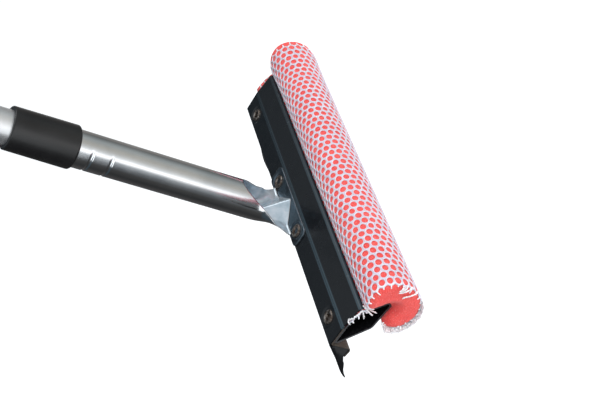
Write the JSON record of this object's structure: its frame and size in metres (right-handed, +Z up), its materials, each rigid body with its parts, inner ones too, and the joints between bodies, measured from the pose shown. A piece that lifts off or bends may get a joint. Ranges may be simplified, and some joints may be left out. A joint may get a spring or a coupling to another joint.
{
  "type": "window cleaning squeegee",
  "caption": "Hand squeegee for windows: a metal head with a rubber blade on one side and a netted sponge roll on the other, on a telescoping twist-lock pole with a grip.",
  "frame": {"origin": "centre of the hanging hole in the end cap", "axes": "+Z up the handle from the head to the end cap, +X along the head, +Y from the rubber blade towards the sponge roll"},
  "size_m": [0.217, 0.0711, 0.6549],
  "materials": {
    "plate_lacquer": "gloss black stoving lacquer",
    "holder_steel": "plain rolled steel, dull",
    "blade_rubber": "satin black rubber",
    "bar_black": "gloss black",
    "sponge_foam": "open-cell foam, coral red",
    "net_yarn": "white nylon mesh",
    "rivet_steel": "zinc plated steel",
    "neck_chrome": "bright plated steel",
    "bush_nylon": "natural nylon",
    "collar_black": "fine satin black",
    "pole_aluminium": "satin silver anodised",
    "lock_nylon": "natural nylon",
    "ring_acetal": "black acetal",
    "grip_rubber": "matt black",
    "cap_black": "satin black"
  },
  "bodies": {
    "pole": {"pole_tube": "pole_aluminium", "lock_core": "lock_nylon", "core_pin": "rivet_steel", "lock_washer": "rivet_steel", "lock_screw": "rivet_steel", "grip": "grip_rubber", "end_cap": "cap_black"},
    "lock_ring": {"lock_ring": "ring_acetal"},
    "head": {"top_plate": "plate_lacquer", "blade_holder": "holder_steel", "rubber_blade": "blade_rubber", "sponge_bar": "bar_black", "sponge_roll": "sponge_foam", "sponge_net": "net_yarn", "end_rivet_far": "rivet_steel", "end_rivet_near": "rivet_steel", "foot_rivet_far": "rivet_steel", "foot_rivet_near": "rivet_steel", "neck_tube": "neck_chrome", "guide_bush": "bush_nylon", "collar": "collar_black"}
  },
  "joints": [
    {"name": "twist_lock", "type": "hinge", "parent": "pole", "child": "lock_ring", "pos_m": [0, 0, -0.5088], "axis": [0, 0, 1], "range_deg": [0, 120]},
    {"name": "telescope", "type": "slide", "parent": "lock_ring", "child": "head", "axis": [0, 0, 1], "range_m": [0, 0.055]}
  ]
}
